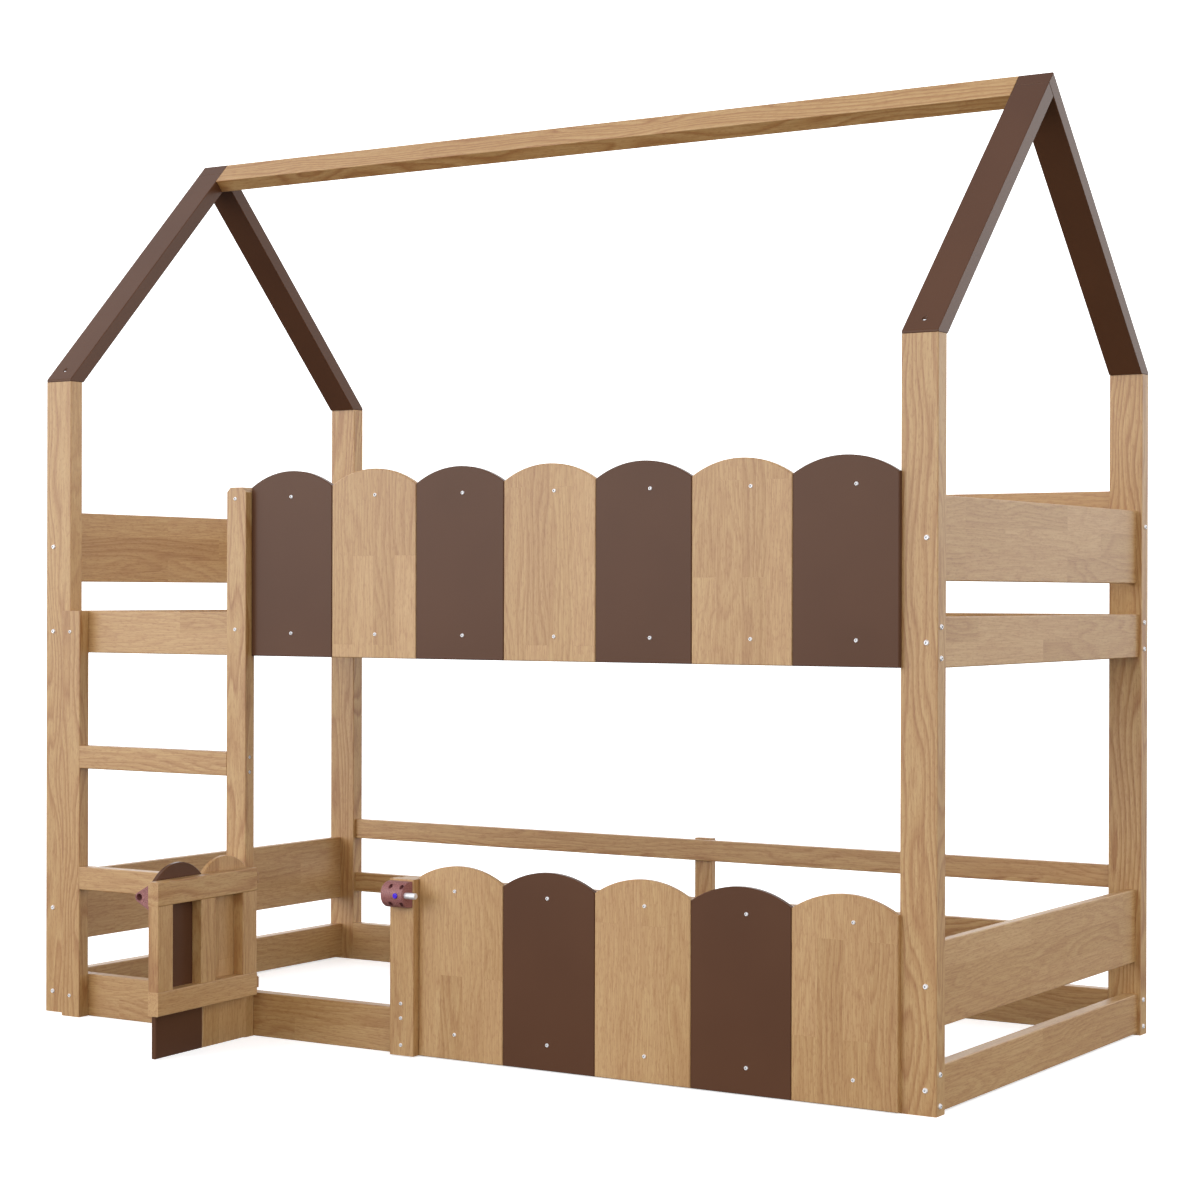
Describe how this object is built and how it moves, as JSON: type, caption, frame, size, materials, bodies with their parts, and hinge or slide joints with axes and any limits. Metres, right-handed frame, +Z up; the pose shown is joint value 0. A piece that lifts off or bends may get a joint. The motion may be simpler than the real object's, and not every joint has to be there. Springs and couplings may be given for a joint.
{
  "type": "house bunk bed",
  "caption": "Gabled house-frame bunk bed with a front ladder, arched-board fences, a slatted upper base and a hinged gate with a sliding latch.",
  "frame": {"origin": "on the floor, under the middle of the whole bed with its gate standing open, so the four posts' own middle lies 167.6 mm behind it", "axes": "+X along the bed from the ladder end, +Y from the front with the gate to the back, +Z up"},
  "size_m": [2.085, 1.3748, 1.8722],
  "materials": {
    "oak": "clear satin lacquer over oak veneer",
    "brown_paint": "smooth satin brown paint",
    "slat_wood": "planed and unfinished",
    "steel": "zinc plated",
    "mauve_plastic": "moulded, fine speckle",
    "violet_plastic": "glossy moulded"
  },
  "bodies": {
    "root": {"front_left_post": "oak", "front_right_post": "oak", "back_left_post": "oak", "back_right_post": "oak", "ridge_beam": "oak", "upper_front_rail": "oak", "upper_back_rail": "oak", "lower_front_rail": "oak", "lower_back_rail": "oak", "upper_left_end_rail": "oak", "upper_right_end_rail": "oak", "lower_left_end_rail": "oak", "lower_right_end_rail": "oak", "upper_left_guard": "oak", "upper_right_guard": "oak", "lower_left_guard": "oak", "lower_right_guard": "oak", "upper_back_guard": "oak", "lower_back_guard_rails": "oak", "back_centre_post": "oak", "upper_fence_rail": "oak", "lower_fence_rail": "oak", "upper_fence_panel_2": "oak", "upper_fence_panel_4": "oak", "upper_fence_panel_6": "oak", "lower_fence_panel_1": "oak", "lower_fence_panel_3": "oak", "lower_fence_panel_5": "oak", "gate_post": "oak", "ladder_left_stile": "oak", "ladder_right_stile": "oak", "ladder_rungs": "oak", "front_left_rafter": "brown_paint", "front_right_rafter": "brown_paint", "back_left_rafter": "brown_paint", "back_right_rafter": "brown_paint", "upper_fence_panel_1": "brown_paint", "upper_fence_panel_3": "brown_paint", "upper_fence_panel_5": "brown_paint", "upper_fence_panel_7": "brown_paint", "lower_fence_panel_2": "brown_paint", "lower_fence_panel_4": "brown_paint", "slat_ledgers": "slat_wood", "slats": "slat_wood", "stile_hinge_leaves": "steel", "hinge_pins": "steel", "frame_bolts": "steel", "threaded_inserts": "steel", "fixing_screws": "steel", "latch_housing": "mauve_plastic"},
    "gate": {"gate_bottom_rail": "oak", "gate_top_rail": "oak", "gate_uprights": "oak", "gate_light_panel": "oak", "gate_dark_panel": "brown_paint", "gate_hinge_leaves": "steel", "latch_receiver": "mauve_plastic", "gate_screws": "steel"},
    "latch_bolt": {"latch_bolt": "steel"},
    "latch_button": {"latch_button": "violet_plastic"}
  },
  "joints": [
    {"name": "gate_hinge", "type": "hinge", "parent": "root", "child": "gate", "pos_m": [-0.4462, -0.35497, 0.2165], "axis": [0, 0, 1], "range_deg": [-4, 86]},
    {"name": "latch_slide", "type": "slide", "parent": "root", "child": "latch_bolt", "axis": [-1, 0, 0], "range_m": [0, 0.024]},
    {"name": "latch_button_press", "type": "slide", "parent": "root", "child": "latch_button", "axis": [0, 1, 0], "range_m": [0, 0.002], "stiffness_N_per_m": 300}
  ]
}
